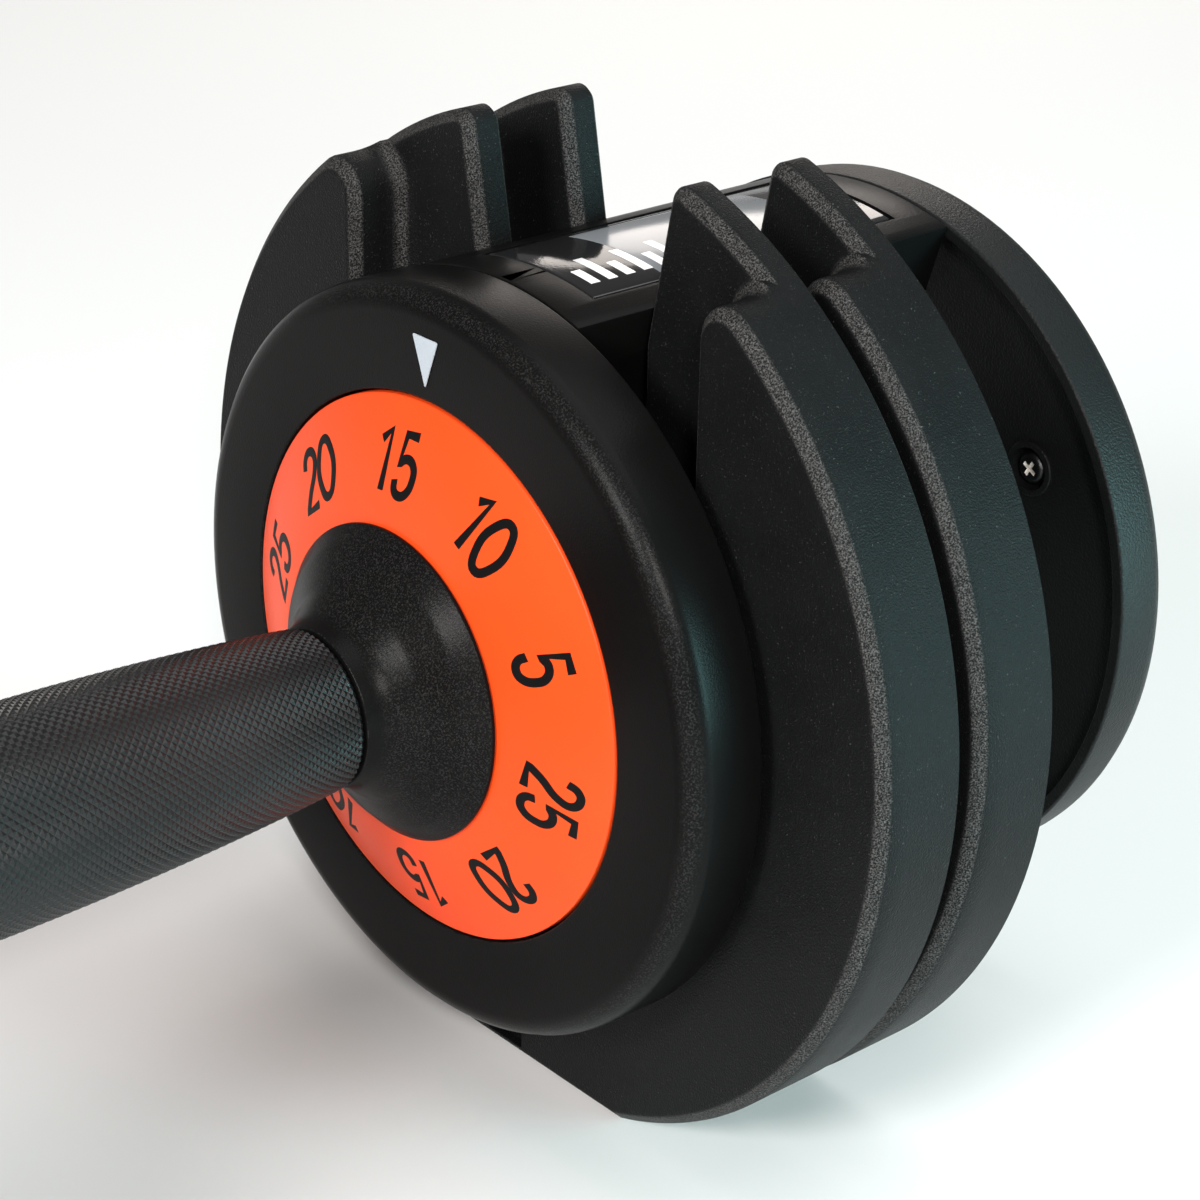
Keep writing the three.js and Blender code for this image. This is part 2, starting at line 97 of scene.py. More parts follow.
high_lamp_data = bpy.data.lights.new("high_lamp", "SUN")
high_lamp_data.energy = 1.4
high_lamp_data.angle = math.radians(50)
high_lamp = bpy.data.objects.new("high_lamp", high_lamp_data)
high_lamp.rotation_euler = (math.radians(8), math.radians(14), 0)
bpy.context.scene.collection.objects.link(high_lamp)

bpy.context.scene.view_settings.view_transform = "Standard"
world = bpy.data.worlds.new("studio")
world.use_nodes = True
world.node_tree.nodes["Background"].inputs["Color"].default_value = (1, 0.97, 0.95, 1)
world.node_tree.nodes["Background"].inputs["Strength"].default_value = 0.2
bpy.context.scene.world = world

floor_mesh = bpy.data.meshes.new("floor")
floor_bm = bmesh.new()
bmesh.ops.create_grid(floor_bm, x_segments=1, y_segments=1, size=4)
floor_bm.to_mesh(floor_mesh)
floor_bm.free()
floor = bpy.data.objects.new("floor", floor_mesh)
bpy.context.scene.collection.objects.link(floor)
floor_paint = bpy.data.materials.new("pale_floor")
floor_paint.use_nodes = True
floor_shader = floor_paint.node_tree.nodes["Principled BSDF"]
floor_shader.inputs["Base Color"].default_value = (0.84, 0.84, 0.84, 1)
floor_shader.inputs["Roughness"].default_value = 0.7
floor_mesh.materials.append(floor_paint)

# ------------------------------------------------------------------ grip
# A moulded rubber sleeve, pushed onto the handle tube. It swells towards the middle of the hand
# and is covered all over in a fine diamond knurl, each diamond a shallow pyramid.


def surface_grain():
    """Fine moulded or sprayed grain: a bump in the surface and a slow change of tone."""
    group = bpy.data.node_groups.new("surface_grain", "ShaderNodeTree")
    for socket, default in (("Grain Size", 0.4), ("Depth", 0.3), ("Patch Size", 12)):
        made = group.interface.new_socket(socket, in_out="INPUT", socket_type="NodeSocketFloat")
        made.default_value = default
    group.interface.new_socket("Normal", in_out="OUTPUT", socket_type="NodeSocketVector")
    group.interface.new_socket("Patches", in_out="OUTPUT", socket_type="NodeSocketFloat")
    nodes, links = group.nodes, group.links
    inputs, outputs = nodes.new("NodeGroupInput"), nodes.new("NodeGroupOutput")
    where = nodes.new("ShaderNodeTexCoord")
    noises = []
    for socket, detail in (("Grain Size", 2), ("Patch Size", 3)):
        per_metre = nodes.new("ShaderNodeMath")
        per_metre.operation = "DIVIDE"
        per_metre.inputs[0].default_value = 1000
        links.new(inputs.outputs[socket], per_metre.inputs[1])
        noise = nodes.new("ShaderNodeTexNoise")
        noise.inputs["Detail"].default_value = detail
        links.new(where.outputs["Object"], noise.inputs["Vector"])
        links.new(per_metre.outputs[0], noise.inputs["Scale"])
        noises.append(noise)
    grain, patches = noises
    bump = nodes.new("ShaderNodeBump")
    bump.inputs["Distance"].default_value = 0.0004
    links.new(inputs.outputs["Depth"], bump.inputs["Strength"])
    links.new(grain.outputs["Fac"], bump.inputs["Height"])
    links.new(bump.outputs["Normal"], outputs.inputs["Normal"])
    links.new(patches.outputs["Fac"], outputs.inputs["Patches"])
    return group


SURFACE_GRAIN = surface_grain()


def finish_material(name, dark, light, roughness, grain, depth, patch=12, spread=0.06, metal=0.0,
                    specular=0.5):
    """A solid-coloured stuff whose tone, gloss and surface vary a little, as real ones do."""
    material = bpy.data.materials.new(name)
    material.use_nodes = True
    nodes, links = material.node_tree.nodes, material.node_tree.links
    shader = nodes["Principled BSDF"]
    shader.inputs["Metallic"].default_value = metal
    shader.inputs["Specular IOR Level"].default_value = specular
    skin = nodes.new("ShaderNodeGroup")
    skin.node_tree = SURFACE_GRAIN
    skin.inputs["Grain Size"].default_value = grain
    skin.inputs["Depth"].default_value = depth
    skin.inputs["Patch Size"].default_value = patch
    tone = nodes.new("ShaderNodeMix")
    tone.data_type = "RGBA"
    tone.inputs["A"].default_value = (*dark, 1)
    tone.inputs["B"].default_value = (*light, 1)
    links.new(skin.outputs["Patches"], tone.inputs["Factor"])
    links.new(tone.outputs["Result"], shader.inputs["Base Color"])
    gloss = nodes.new("ShaderNodeMapRange")
    gloss.inputs["To Min"].default_value = roughness - spread
    gloss.inputs["To Max"].default_value = roughness + spread
    links.new(skin.outputs["Patches"], gloss.inputs["Value"])
    links.new(gloss.outputs["Result"], shader.inputs["Roughness"])
    links.new(skin.outputs["Normal"], shader.inputs["Normal"])
    return material


def settle(name, bm, place, material, body, replaces=(), sharp=32):
    """Closes a mesh, places it in the row frame, and hangs it on its body."""
    bmesh.ops.remove_doubles(bm, verts=bm.verts, dist=1e-4)
    bmesh.ops.dissolve_degenerate(bm, edges=bm.edges, dist=1e-5)
    bmesh.ops.transform(bm, matrix=place, verts=bm.verts)
    bmesh.ops.recalc_face_normals(bm, faces=bm.faces)
    for face in bm.faces:
        face.smooth = True
    mesh = bpy.data.meshes.new(name)
    bm.to_mesh(mesh)
    bm.free()
    mesh.set_sharp_from_angle(angle=math.radians(sharp))
    mesh.materials.append(material)
    piece = bpy.data.objects.new(name, mesh)
    bpy.context.scene.collection.objects.link(piece)
    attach(piece, body)
    if replaces:
        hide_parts(*replaces)
    return piece


def middle_place():
    """From millimetres about the grip's middle to the row frame's metres."""
    return Matrix.Translation((0, 0, AXIS_Z * MM)) @ Matrix.Diagonal((MM, MM, MM, 1))


TUBE_RADIUS = 9.7
GRIP_HALF = 60
GRIP_END_RADIUS, GRIP_MIDDLE_RADIUS = 11.4, 14.6
GRIP_END_LENGTH, GRIP_END_DROP = 0.8, 0.5  # the round at each end
KNURL_ROUND, KNURL_ALONG, KNURL_DEPTH = 62, 88, 0.23

grip_rubber = finish_material("grip_rubber", (0.006, 0.0062, 0.0066), (0.011, 0.0114, 0.012),
                              0.34, 0.25, 0.08, patch=18, specular=0.34)


def grip_radius(x):
    swell = max(0.0, math.cos(x / GRIP_HALF * math.pi / 2)) ** 0.8
    return GRIP_END_RADIUS + (GRIP_MIDDLE_RADIUS - GRIP_END_RADIUS) * swell


def knurled_grip():
    bm = bmesh.new()
    across, along = 2 * KNURL_ROUND, 2 * KNURL_ALONG
    bmesh.ops.create_grid(bm, x_segments=along, y_segments=across, size=1)
    valleys = []
    for vert in bm.verts:
        row = round((vert.co.x + 1) / 2 * along)
        column = round((vert.co.y + 1) / 2 * across)
        x = -GRIP_HALF + 2 * GRIP_HALF * row / along
        proud = 0
        if (row + column) % 2 == 0:
            proud = -KNURL_DEPTH
            valleys.append(vert)
        edge = min(1.0, (GRIP_HALF - abs(x)) / GRIP_END_LENGTH)
        radius = grip_radius(x) + proud - GRIP_END_DROP * (1 - edge) ** 2
        turn = 2 * math.pi * column / across
        vert.co = (x, radius * math.cos(turn), radius * math.sin(turn))
    bmesh.ops.connect_verts(bm, verts=valleys)
    bmesh.ops.remove_doubles(bm, verts=bm.verts, dist=1e-3)
    rims = [e for e in bm.edges if e.is_boundary]
    made = bmesh.ops.extrude_edge_only(bm, edges=rims)["geom"]
    for vert in (g for g in made if isinstance(g, bmesh.types.BMVert)):
        flat = Vector((0, vert.co.y, vert.co.z)).normalized() * (TUBE_RADIUS + 0.3)
        vert.co = (vert.co.x, flat.y, flat.z)
    inner = [e for e in bm.edges if e.is_boundary]
    bmesh.ops.bridge_loops(bm, edges=inner)
    return bm


settle("grip_sleeve", knurled_grip(), middle_place(), grip_rubber, "drive",
       ["grip"], sharp=0)

# ------------------------------------------------------------------ collars
# A moulded trumpet of satin black plastic at each end of the grip. It hides the end of the sleeve
# and turns with the dial behind it.

SIDES = {"right": 1, "left": -1}


def head_place(side):
    """From a head's own millimetres to the row frame's metres."""
    sign = SIDES[side]
    move = Matrix.Translation((sign * DIAL_X * MM, 0, AXIS_Z * MM))
    return move @ Matrix.Diagonal((sign * MM, MM, MM, 1))


def edge_wear_and_sheen():
    """Pale specks where a surface is neither flat across the axis nor parallel to it:
    edge wear on the iron, and a painted highlight on the satin plastic.
    """
    group = bpy.data.node_groups.new("edge_wear_and_sheen", "ShaderNodeTree")
    for socket, default in (("Speck Size", 0.24), ("Fewest", 0.5), ("Most", 0.7)):
        made = group.interface.new_socket(socket, in_out="INPUT", socket_type="NodeSocketFloat")
        made.default_value = default
    group.interface.new_socket("WearAndSheen", in_out="OUTPUT", socket_type="NodeSocketFloat")
    group.interface.new_socket("Specks", in_out="OUTPUT", socket_type="NodeSocketFloat")
    nodes, links = group.nodes, group.links
    inputs, outputs = nodes.new("NodeGroupInput"), nodes.new("NodeGroupOutput")
    where = nodes.new("ShaderNodeTexCoord")
    facing = nodes.new("ShaderNodeSeparateXYZ")
    links.new(where.outputs["Normal"], facing.inputs[0])
    size = nodes.new("ShaderNodeMath")
    size.operation = "ABSOLUTE"
    links.new(facing.outputs["X"], size.inputs[0])
    slanted = nodes.new("ShaderNodeValToRGB")
    for element, position in zip(slanted.color_ramp.elements, (0.3, 0.98)):
        element.position = position
        element.color = (0, 0, 0, 1)
    for position in (0.6, 0.85):
        slanted.color_ramp.elements.new(position).color = (1, 1, 1, 1)
    links.new(size.outputs[0], slanted.inputs[0])
    per_metre = nodes.new("ShaderNodeMath")
    per_metre.operation = "DIVIDE"
    per_metre.inputs[0].default_value = 1000
    links.new(inputs.outputs["Speck Size"], per_metre.inputs[1])
    noise = nodes.new("ShaderNodeTexNoise")
    noise.inputs["Detail"].default_value = 2
    links.new(where.outputs["Object"], noise.inputs["Vector"])
    links.new(per_metre.outputs[0], noise.inputs["Scale"])
    specks = nodes.new("ShaderNodeMapRange")
    links.new(inputs.outputs["Fewest"], specks.inputs["From Min"])
    links.new(inputs.outputs["Most"], specks.inputs["From Max"])
    links.new(noise.outputs["Fac"], specks.inputs["Value"])
    links.new(specks.outputs["Result"], outputs.inputs["Specks"])
    slant_specks = nodes.new("ShaderNodeMath")
    slant_specks.operation = "MULTIPLY"
    links.new(specks.outputs["Result"], slant_specks.inputs[0])
    links.new(slanted.outputs["Color"], slant_specks.inputs[1])
    links.new(slant_specks.outputs[0], outputs.inputs["WearAndSheen"])
    return group


EDGE_WEAR_AND_SHEEN = edge_wear_and_sheen()


def mix_wear_and_sheen_specks(material, speck, fewest, most, colour, output="WearAndSheen"):
    """Mixes one size of pale speck into a material's colour. On slanted surfaces they are wear
    on the iron's chamfers, and a painted highlight on the satin plastic's fillets and rims.
    """
    nodes, links = material.node_tree.nodes, material.node_tree.links
    base = nodes["Principled BSDF"].inputs["Base Color"]
    wear_and_sheen_specks = nodes.new("ShaderNodeGroup")
    wear_and_sheen_specks.node_tree = EDGE_WEAR_AND_SHEEN
    wear_and_sheen_specks.inputs["Speck Size"].default_value = speck
    wear_and_sheen_specks.inputs["Fewest"].default_value = fewest
    wear_and_sheen_specks.inputs["Most"].default_value = most
    worn_and_sheen_mix = nodes.new("ShaderNodeMix")
    worn_and_sheen_mix.data_type = "RGBA"
    worn_and_sheen_mix.inputs["B"].default_value = (*colour, 1)
    links.new(wear_and_sheen_specks.outputs[output], worn_and_sheen_mix.inputs["Factor"])
    links.new(base.links[0].from_socket, worn_and_sheen_mix.inputs["A"])
    links.new(worn_and_sheen_mix.outputs["Result"], base)


satin_black = finish_material("satin_black_plastic", (0.003, 0.003, 0.0032),
                              (0.006, 0.0058, 0.0056), 0.3, 0.28, 0.09, patch=22, specular=0.06)
# The pale specks on the satin plastic's fillets and rims are a painted highlight, not wear.
mix_wear_and_sheen_specks(satin_black, 0.26, 0.48, 0.8, (0.032, 0.032, 0.032))


def arc_round(points, steps=5):
    """A profile of [x, r] or [x, r, fillet] points with its fillets drawn as arcs."""
    out = []
    count = len(points)
    for i, point in enumerate(points):
        here = Vector(point[:2])
        fillet = point[2] if len(point) > 2 else 0
        if not fillet:
            out.append(here)
            continue
        back = (Vector(points[i - 1][:2]) - here).normalized()
        ahead = (Vector(points[(i + 1) % count][:2]) - here).normalized()
        half = back.angle(ahead) / 2
        reach = fillet / math.tan(half)
        centre = here + (back + ahead).normalized() * (fillet / math.sin(half))
        start, end = here + back * reach - centre, here + ahead * reach - centre
        for step in range(steps + 1):
            blend = start.lerp(end, step / steps)
            out.append(centre + blend.normalized() * fillet)
    return out


def turned(profile, steps=160, fillet_steps=5):
    """A closed profile of [x, r, fillet] points, spun round the X axis."""
    bm = bmesh.new()
    verts = [bm.verts.new((p.x, 0, p.y)) for p in arc_round(profile, fillet_steps)]
    edges = [bm.edges.new((verts[i - 1], verts[i])) for i in range(len(verts))]
    bmesh.ops.spin(bm, geom=verts + edges, cent=(0, 0, 0), axis=(1, 0, 0), angle=2 * math.pi,
                   steps=steps, use_merge=True, use_duplicate=False)
    bmesh.ops.remove_doubles(bm, verts=bm.verts, dist=1e-4)
    bmesh.ops.delete(bm, geom=[e for e in bm.edges if e.is_wire], context="EDGES")
    return bm


COLLAR_PROFILE = [[-6.3, 10, 0], [-6.3, 23, 0.2], [-6.9, 23, 0.3], [-9.5, 20.3, 6],
                  [-12.6, 15.4, 7], [-16, 12.3, 7], [-19, 11.4, 0.3], [-19, 10, 0]]

for side in SIDES:
    settle(f"collar_shell_{side}", turned(COLLAR_PROFILE), head_place(side), satin_black, "drive",
           [f"collar_{side}"], sharp=40)

# ------------------------------------------------------------------ dials
# A shallow cone of orange plastic, keyed to the handle tube, with the ten stations of the setting
# printed in black: two turns of five weights, so one always stands at the top.

DIAL_EDGE, DIAL_INNER, DIAL_RISE, DIAL_THICK = 39.9, 24, 6, 2.2
WEIGHTS = ["15", "10", "5", "25", "20"]
STATIONS, STATION_STEP = 10, 36
NUMERAL_HEIGHT, DIGIT_STEP, NUMERAL_STROKE, NUMERAL_RADIUS, PRINT_SLIP = 8.1, 4.8, 1.3, 31.5, -5.0
DIGIT_MIDDLE = 0.24
INK_LIFT, INK_THICKNESS = 0.03, 0.3
# Each stroke's points are across and up a digit one unit tall. True rounds the line through a
# point, and a stroke of nothing but rounded points closes on itself.
DIGIT_STROKES = {
    "0": [[(0.235, 0, True), (0.45, 0.24, True), (0.45, 0.76, True), (0.235, 1, True),
           (0.02, 0.76, True), (0.02, 0.24, True)]],
    "1": [[(0.07, 0.79, False), (0.29, 0.98, False), (0.29, 0, False)]],
    "2": [[(0.03, 0.73, False), (0.08, 0.92, True), (0.23, 1, True), (0.42, 0.88, True),
           (0.4, 0.62, True), (0.16, 0.27, True), (0.02, 0, False), (0.46, 0, False)]],
    "5": [[(0.42, 0.98, False), (0.11, 0.98, False), (0.05, 0.5, False), (0.23, 0.6, True),
           (0.41, 0.52, True), (0.46, 0.3, True), (0.36, 0.06, True), (0.2, 0, True),
           (0.06, 0.07, True), (0.02, 0.24, False)]],
}

orange_plastic = finish_material("orange_plastic", (0.94, 0.07, 0.01), (1.0, 0.088, 0.014), 0.36,
                                 0.5, 0.05, patch=30, spread=0.03, specular=0.22)
black_ink = finish_material("black_ink", (0.003, 0.003, 0.0032), (0.006, 0.006, 0.0063), 0.45,
                            0.2, 0.1, specular=0.1)


def dial_x(radius):
    return -DIAL_RISE * (DIAL_EDGE - radius) / (DIAL_EDGE - DIAL_INNER)


DIAL_PROFILE = [[-DIAL_RISE, 10, 0], [-DIAL_RISE, DIAL_INNER, 0], [0, DIAL_EDGE, 0.35],
                [DIAL_THICK, DIAL_EDGE, 0.3], [DIAL_THICK - DIAL_RISE, DIAL_INNER, 0],
                [DIAL_THICK - DIAL_RISE, 11.4, 0], [12.9, 11.4, 0], [12.9, 10, 0]]


def numeral(text, degrees, side):
    """One printed weight: strokes pressed nearly flat, wrapped a hair proud onto the cone."""
    curve = bpy.data.curves.new("numeral", "CURVE")
    curve.dimensions = "3D"
    curve.resolution_u = 6
    curve.bevel_depth = NUMERAL_STROKE / 2 / NUMERAL_HEIGHT
    curve.bevel_resolution = 1
    curve.use_fill_caps = True
    step = DIGIT_STEP / NUMERAL_HEIGHT
    for place_in_text, digit in enumerate(text):
        for stroke in DIGIT_STROKES[digit]:
            spline = curve.splines.new("BEZIER")
            spline.bezier_points.add(len(stroke) - 1)
            spline.use_cyclic_u = all(smooth for _, _, smooth in stroke)
            for point, (right, up, smooth) in zip(spline.bezier_points, stroke):
                shift = step * (place_in_text - (len(text) - 1) / 2)
                point.co = (right - DIGIT_MIDDLE + shift, up - 0.5, 0)
                kind = "AUTO" if smooth else "VECTOR"
                point.handle_left_type = point.handle_right_type = kind
    flat = bpy.data.objects.new("numeral", curve)
    bpy.context.scene.collection.objects.link(flat)
    bpy.context.view_layer.update()
    mesh = bpy.data.meshes.new_from_object(flat)
    bpy.data.objects.remove(flat)
    bm = bmesh.new()
    bm.from_mesh(mesh)
    bpy.data.meshes.remove(mesh)
    turn = math.radians(degrees)
    outwards = Vector((0, -math.sin(turn), math.cos(turn)))
    across = Vector((0, -math.cos(turn), -math.sin(turn))) * SIDES[side]
    for vert in bm.verts:
        spot = outwards * (NUMERAL_RADIUS + vert.co.y * NUMERAL_HEIGHT)
        spot += across * vert.co.x * NUMERAL_HEIGHT
        lift = INK_LIFT + INK_THICKNESS * vert.co.z
        vert.co = (dial_x(spot.length) - lift, spot.y, spot.z)
    return bm


for side in SIDES:
    settle(f"dial_ring_{side}", turned(DIAL_PROFILE), head_place(side), orange_plastic, "drive",
           [f"dial_{side}"])
    for station in range(STATIONS):
        weight = WEIGHTS[station % len(WEIGHTS)]
        bm = numeral(weight, station * STATION_STEP + PRINT_SLIP, side)
        settle(f"dial_number_{weight}_{station}_{side}", bm, head_place(side), black_ink, "drive",
               sharp=30)

# ------------------------------------------------------------------ inner covers
# The disc beside the grip: a moulded cap with a round well for the dial and a white pointer set
# into its face at the top. It is screwed to the bridge and never turns.

DISC_RADIUS, DISC_ROUND = 55.3, 3.8
COVER_DEPTH, COVER_WELL = 12.3, 40.3
COVER_PROFILE = [[0, COVER_WELL, 0.35], [0, DISC_RADIUS, DISC_ROUND],
                 [COVER_DEPTH, DISC_RADIUS, 0.4], [COVER_DEPTH, 53, 0], [4.4, 53, 0],
                 [2.3, 50.9, 0], [2.3, 42.6, 0], [COVER_DEPTH, 42.6, 0], [COVER_DEPTH, 14.5, 0],
                 [9.9, 14.5, 0], [9.9, COVER_WELL, 0]]
POINTER = {"top": 49.4, "tip": 42.2, "half": 2.7, "proud": 0.08}
pointer_white = finish_material("pointer_white", (0.42, 0.48, 0.54), (0.5, 0.56, 0.62), 0.4, 0.4,
                                0.1)


def pointer():
    bm = bmesh.new()
    corners = [(0, POINTER["half"], POINTER["top"]), (0, -POINTER["half"], POINTER["top"]),
               (0, 0, POINTER["tip"])]
    bm.faces.new([bm.verts.new(c) for c in corners])
    bmesh.ops.bevel(bm, geom=bm.verts[:], offset=0.35, segments=3, affect="VERTICES", profile=0.5,
                    material=-1)
    bmesh.ops.translate(bm, vec=(-POINTER["proud"], 0, 0), verts=bm.verts)
    bmesh.ops.solidify(bm, geom=bm.faces[:], thickness=0.12)
    return bm


for side in SIDES:
    settle(f"inner_disc_{side}", turned(COVER_PROFILE), head_place(side), satin_black, "frame",
           [f"inner_cover_{side}"], sharp=40)
    settle(f"pointer_{side}", pointer(), head_place(side), pointer_white, "frame",
           sharp=30)

# ------------------------------------------------------------------ outer discs
# A cup of finely grained black plastic, open towards the plates, keyed and bolted to the bar. A
# plain lid closes its back, held by three cross-head screws seen inside the cup.

grained_black = finish_material("grained_black_plastic", (0.006, 0.0065, 0.0068),
                                (0.010, 0.0108, 0.011), 0.44, 0.36, 0.4, patch=16, specular=0.18)
CUP_PROFILE = [[86.3, 2, 0], [86.3, 10, 0.4], [88, 10, 0.4], [88, 53, 0.8], [83.5, 53.4, 0.3],
               [83.5, DISC_RADIUS, 0.5], [94, DISC_RADIUS, DISC_ROUND], [94, 49.3, 0.3],
               [90.2, 49.3, 0], [90.2, 8, 0], [88.6, 8, 0], [88.6, 2, 0]]
LID_PROFILE = [[92.4, 0, 0], [92.4, 46.8, 0], [90.5, 46.8, 0], [90.5, 49, 0], [93.9, 49, 0.5],
               [93.6, 44, 1], [93.6, 0, 0]]
LID_SCREW_CIRCLE = 37
LID_SCREWS = [60, 180, 300]
LID_SCREW = {"x": 87.7, "radius": 2.9, "height": 1.3, "shank_end": 92.3}
SCREW_WELL, SCREW_BOSS = 3.3, 4.3  # radii of the sunk floor round each screw and of its rim


def on_circle(radius, degrees):
    """A point at an angle from the top, as y, z."""
    return -radius * math.sin(math.radians(degrees)), radius * math.cos(math.radians(degrees))


def make_object(bm):
    bmesh.ops.recalc_face_normals(bm, faces=bm.faces)
    mesh = bpy.data.meshes.new("blank")
    bm.to_mesh(mesh)
    bm.free()
    made = bpy.data.objects.new("blank", mesh)
    bpy.context.scene.collection.objects.link(made)
    return made


def combined(bm, others, operation="DIFFERENCE"):
    """The first solid with the others cut away, or joined on."""
    body = make_object(bm)
    tools = [make_object(other) for other in others]
    for tool in tools:
        step = body.modifiers.new("step", "BOOLEAN")
        step.operation = operation
        step.solver = "EXACT"
        step.object = tool
    graph = bpy.context.evaluated_depsgraph_get()
    mesh = bpy.data.meshes.new_from_object(body.evaluated_get(graph))
    out = bmesh.new()
    out.from_mesh(mesh)
    for used in [body, *tools]:
        spare = used.data
        bpy.data.objects.remove(used)
        bpy.data.meshes.remove(spare)
    bpy.data.meshes.remove(mesh)
    return out


def rod(x0, x1, radius):
    return turned([[x0, 0], [x0, radius], [x1, radius], [x1, 0]], 32)


def moved(bm, y, z, x=0):
    bmesh.ops.translate(bm, vec=(x, y, z), verts=bm.verts)
    return bm


def outer_cup():
    spots = [on_circle(LID_SCREW_CIRCLE, degrees) for degrees in LID_SCREWS]
    wells = [moved(rod(87, 89.3, SCREW_WELL), y, z) for y, z in spots]
    rim = [[87.4, SCREW_WELL], [87.4, SCREW_BOSS, 0.3], [88.5, SCREW_BOSS], [88.5, SCREW_WELL]]
    rims = [moved(turned(rim, 32), y, z) for y, z in spots]
    return combined(combined(turned(CUP_PROFILE), rims, "UNION"), wells)


def cross_screw(x, radius, height, shank_end, shank_radius=1.2):
    """A pan-head screw driven outwards along x, with a cross recess in its head."""
    head = turned([[x, 0, 0], [x, radius * 0.7, radius * 0.3], [x + height, radius, 0.1],
                   [x + height, shank_radius, 0], [shank_end, shank_radius, 0],
                   [shank_end, 0, 0]], 32)
    slots = []
    for turn in (30, 120):
        slot = bmesh.new()
        bmesh.ops.create_cube(slot, size=1)
        bmesh.ops.scale(slot, vec=(height * 1.1, radius * 1.15, radius * 0.27), verts=slot.verts)
        tips = [v for v in slot.verts if v.co.x > 0]
        bmesh.ops.scale(slot, vec=(1, 0.45, 0.6), verts=tips)
        bmesh.ops.translate(slot, vec=(x + 0.1, 0, 0), verts=slot.verts)
        bmesh.ops.rotate(slot, cent=(0, 0, 0), matrix=Matrix.Rotation(math.radians(turn), 3, "X"),
                         verts=slot.verts)
        slots.append(slot)
    bm = combined(head, slots)
    for face in bm.faces:
        middle = face.calc_center_median()
        if x + 0.03 < middle.x < x + height and middle.yz.length < radius * 0.6:
            face.material_index = 1
    return bm


black_steel = finish_material("black_steel", (0.05, 0.05, 0.052), (0.08, 0.08, 0.083), 0.4,
                              0.3, 0.2, metal=1.0)
bright_zinc = finish_material("bright_zinc", (0.75, 0.73, 0.68), (0.9, 0.88, 0.84), 0.4, 0.3, 0.15,
                              patch=3, metal=0.4)

for side in SIDES:
    settle(f"outer_disc_{side}", outer_cup(), head_place(side), grained_black, "frame",
           [f"outer_cup_{side}"], sharp=40)
    settle(f"disc_lid_{side}", turned(LID_PROFILE), head_place(side), grained_black, "frame",
           [f"end_cover_{side}"], sharp=40)
    for i, degrees in enumerate(LID_SCREWS):
        bm = moved(cross_screw(**LID_SCREW), *on_circle(LID_SCREW_CIRCLE, degrees))
        screw = settle(f"lid_screw_{i + 1}_{side}", bm, head_place(side), black_steel, "frame",
                       [f"end_cover_screw_{i + 1}_{side}"], sharp=30)
        screw.data.materials.append(bright_zinc)

# ------------------------------------------------------------------ bridges and labels
# The spine over the plates: a black moulded channel, flush with both discs and screwed to them,
# with a long shallow recess in its top. A domed gloss label is stuck there, black with a grey band
# and a row of white blocks.

BRIDGE_START, BRIDGE_END, BRIDGE_HALF_ANGLE, BRIDGE_DEPTH = 12.55, 83.25, 17.6, 18
BRIDGE_END_WALL, CHANNEL_RADIUS, CHANNEL_HALF_ANGLE = 2.4, 52.5, 14.7
RECESS_START, RECESS_END, RECESS_HALF_ANGLE, RECESS_DEPTH = 19.2, 77, 12.5, 1.2
LABEL_BACK = 0.9  # how far under the disc's radius the label's underside lies
LABEL = {"x0": 19.7, "x1": 76.5, "lift": 0, "half_angle": 12.05, "thick": 0.8}
LABEL_BAND = {"x0": 33, "x1": 66, "lift": 0.14, "half_angle": 10.4, "thick": 0.7}
MARK_START, MARK_PITCH, MARK_LENGTH, MARK_TOP = 22, 3.2, 1.6, 8.6
MARK_BOTTOMS = (4, 0.6)  # short and tall blocks in turn, in degrees from the top
LUG = {"length": 5.6, "inner": 12.6, "outer": 15.7, "bottom": 42.6, "top": 44.8}


def ring_block(x0, x1, inner, outer, half_angle, steps=16):
    """A slice of a tube round the axis, centred on the top."""
    bm = bmesh.new()
    corners = [(x0, 0, inner), (x1, 0, inner), (x1, 0, outer), (x0, 0, outer)]
    face = bm.faces.new([bm.verts.new(c) for c in corners])
    turn = math.radians(half_angle)
    bmesh.ops.rotate(bm, cent=(0, 0, 0), matrix=Matrix.Rotation(-turn, 3, "X"), verts=bm.verts)
    bmesh.ops.spin(bm, geom=[face, *face.edges, *face.verts], cent=(0, 0, 0), axis=(1, 0, 0),
                   angle=2 * turn, steps=steps)
    bmesh.ops.recalc_face_normals(bm, faces=bm.faces)
    return bm


def box(x, y, z):
    bm = bmesh.new()
    bmesh.ops.create_cube(bm, size=1)
    bmesh.ops.scale(bm, vec=(x[1] - x[0], y[1] - y[0], z[1] - z[0]), verts=bm.verts)
    middle = ((x[0] + x[1]) / 2, (y[0] + y[1]) / 2, (z[0] + z[1]) / 2)
    bmesh.ops.translate(bm, vec=middle, verts=bm.verts)
    return bm


def bevel_sharp(bm, offset, segments=2, degrees=50):
    edges = [e for e in bm.edges if e.is_manifold and e.calc_face_angle(0) > math.radians(degrees)]
    bmesh.ops.bevel(bm, geom=edges, offset=offset, segments=segments, affect="EDGES", profile=0.5,
                    material=-1, clamp_overlap=True)
    return bm


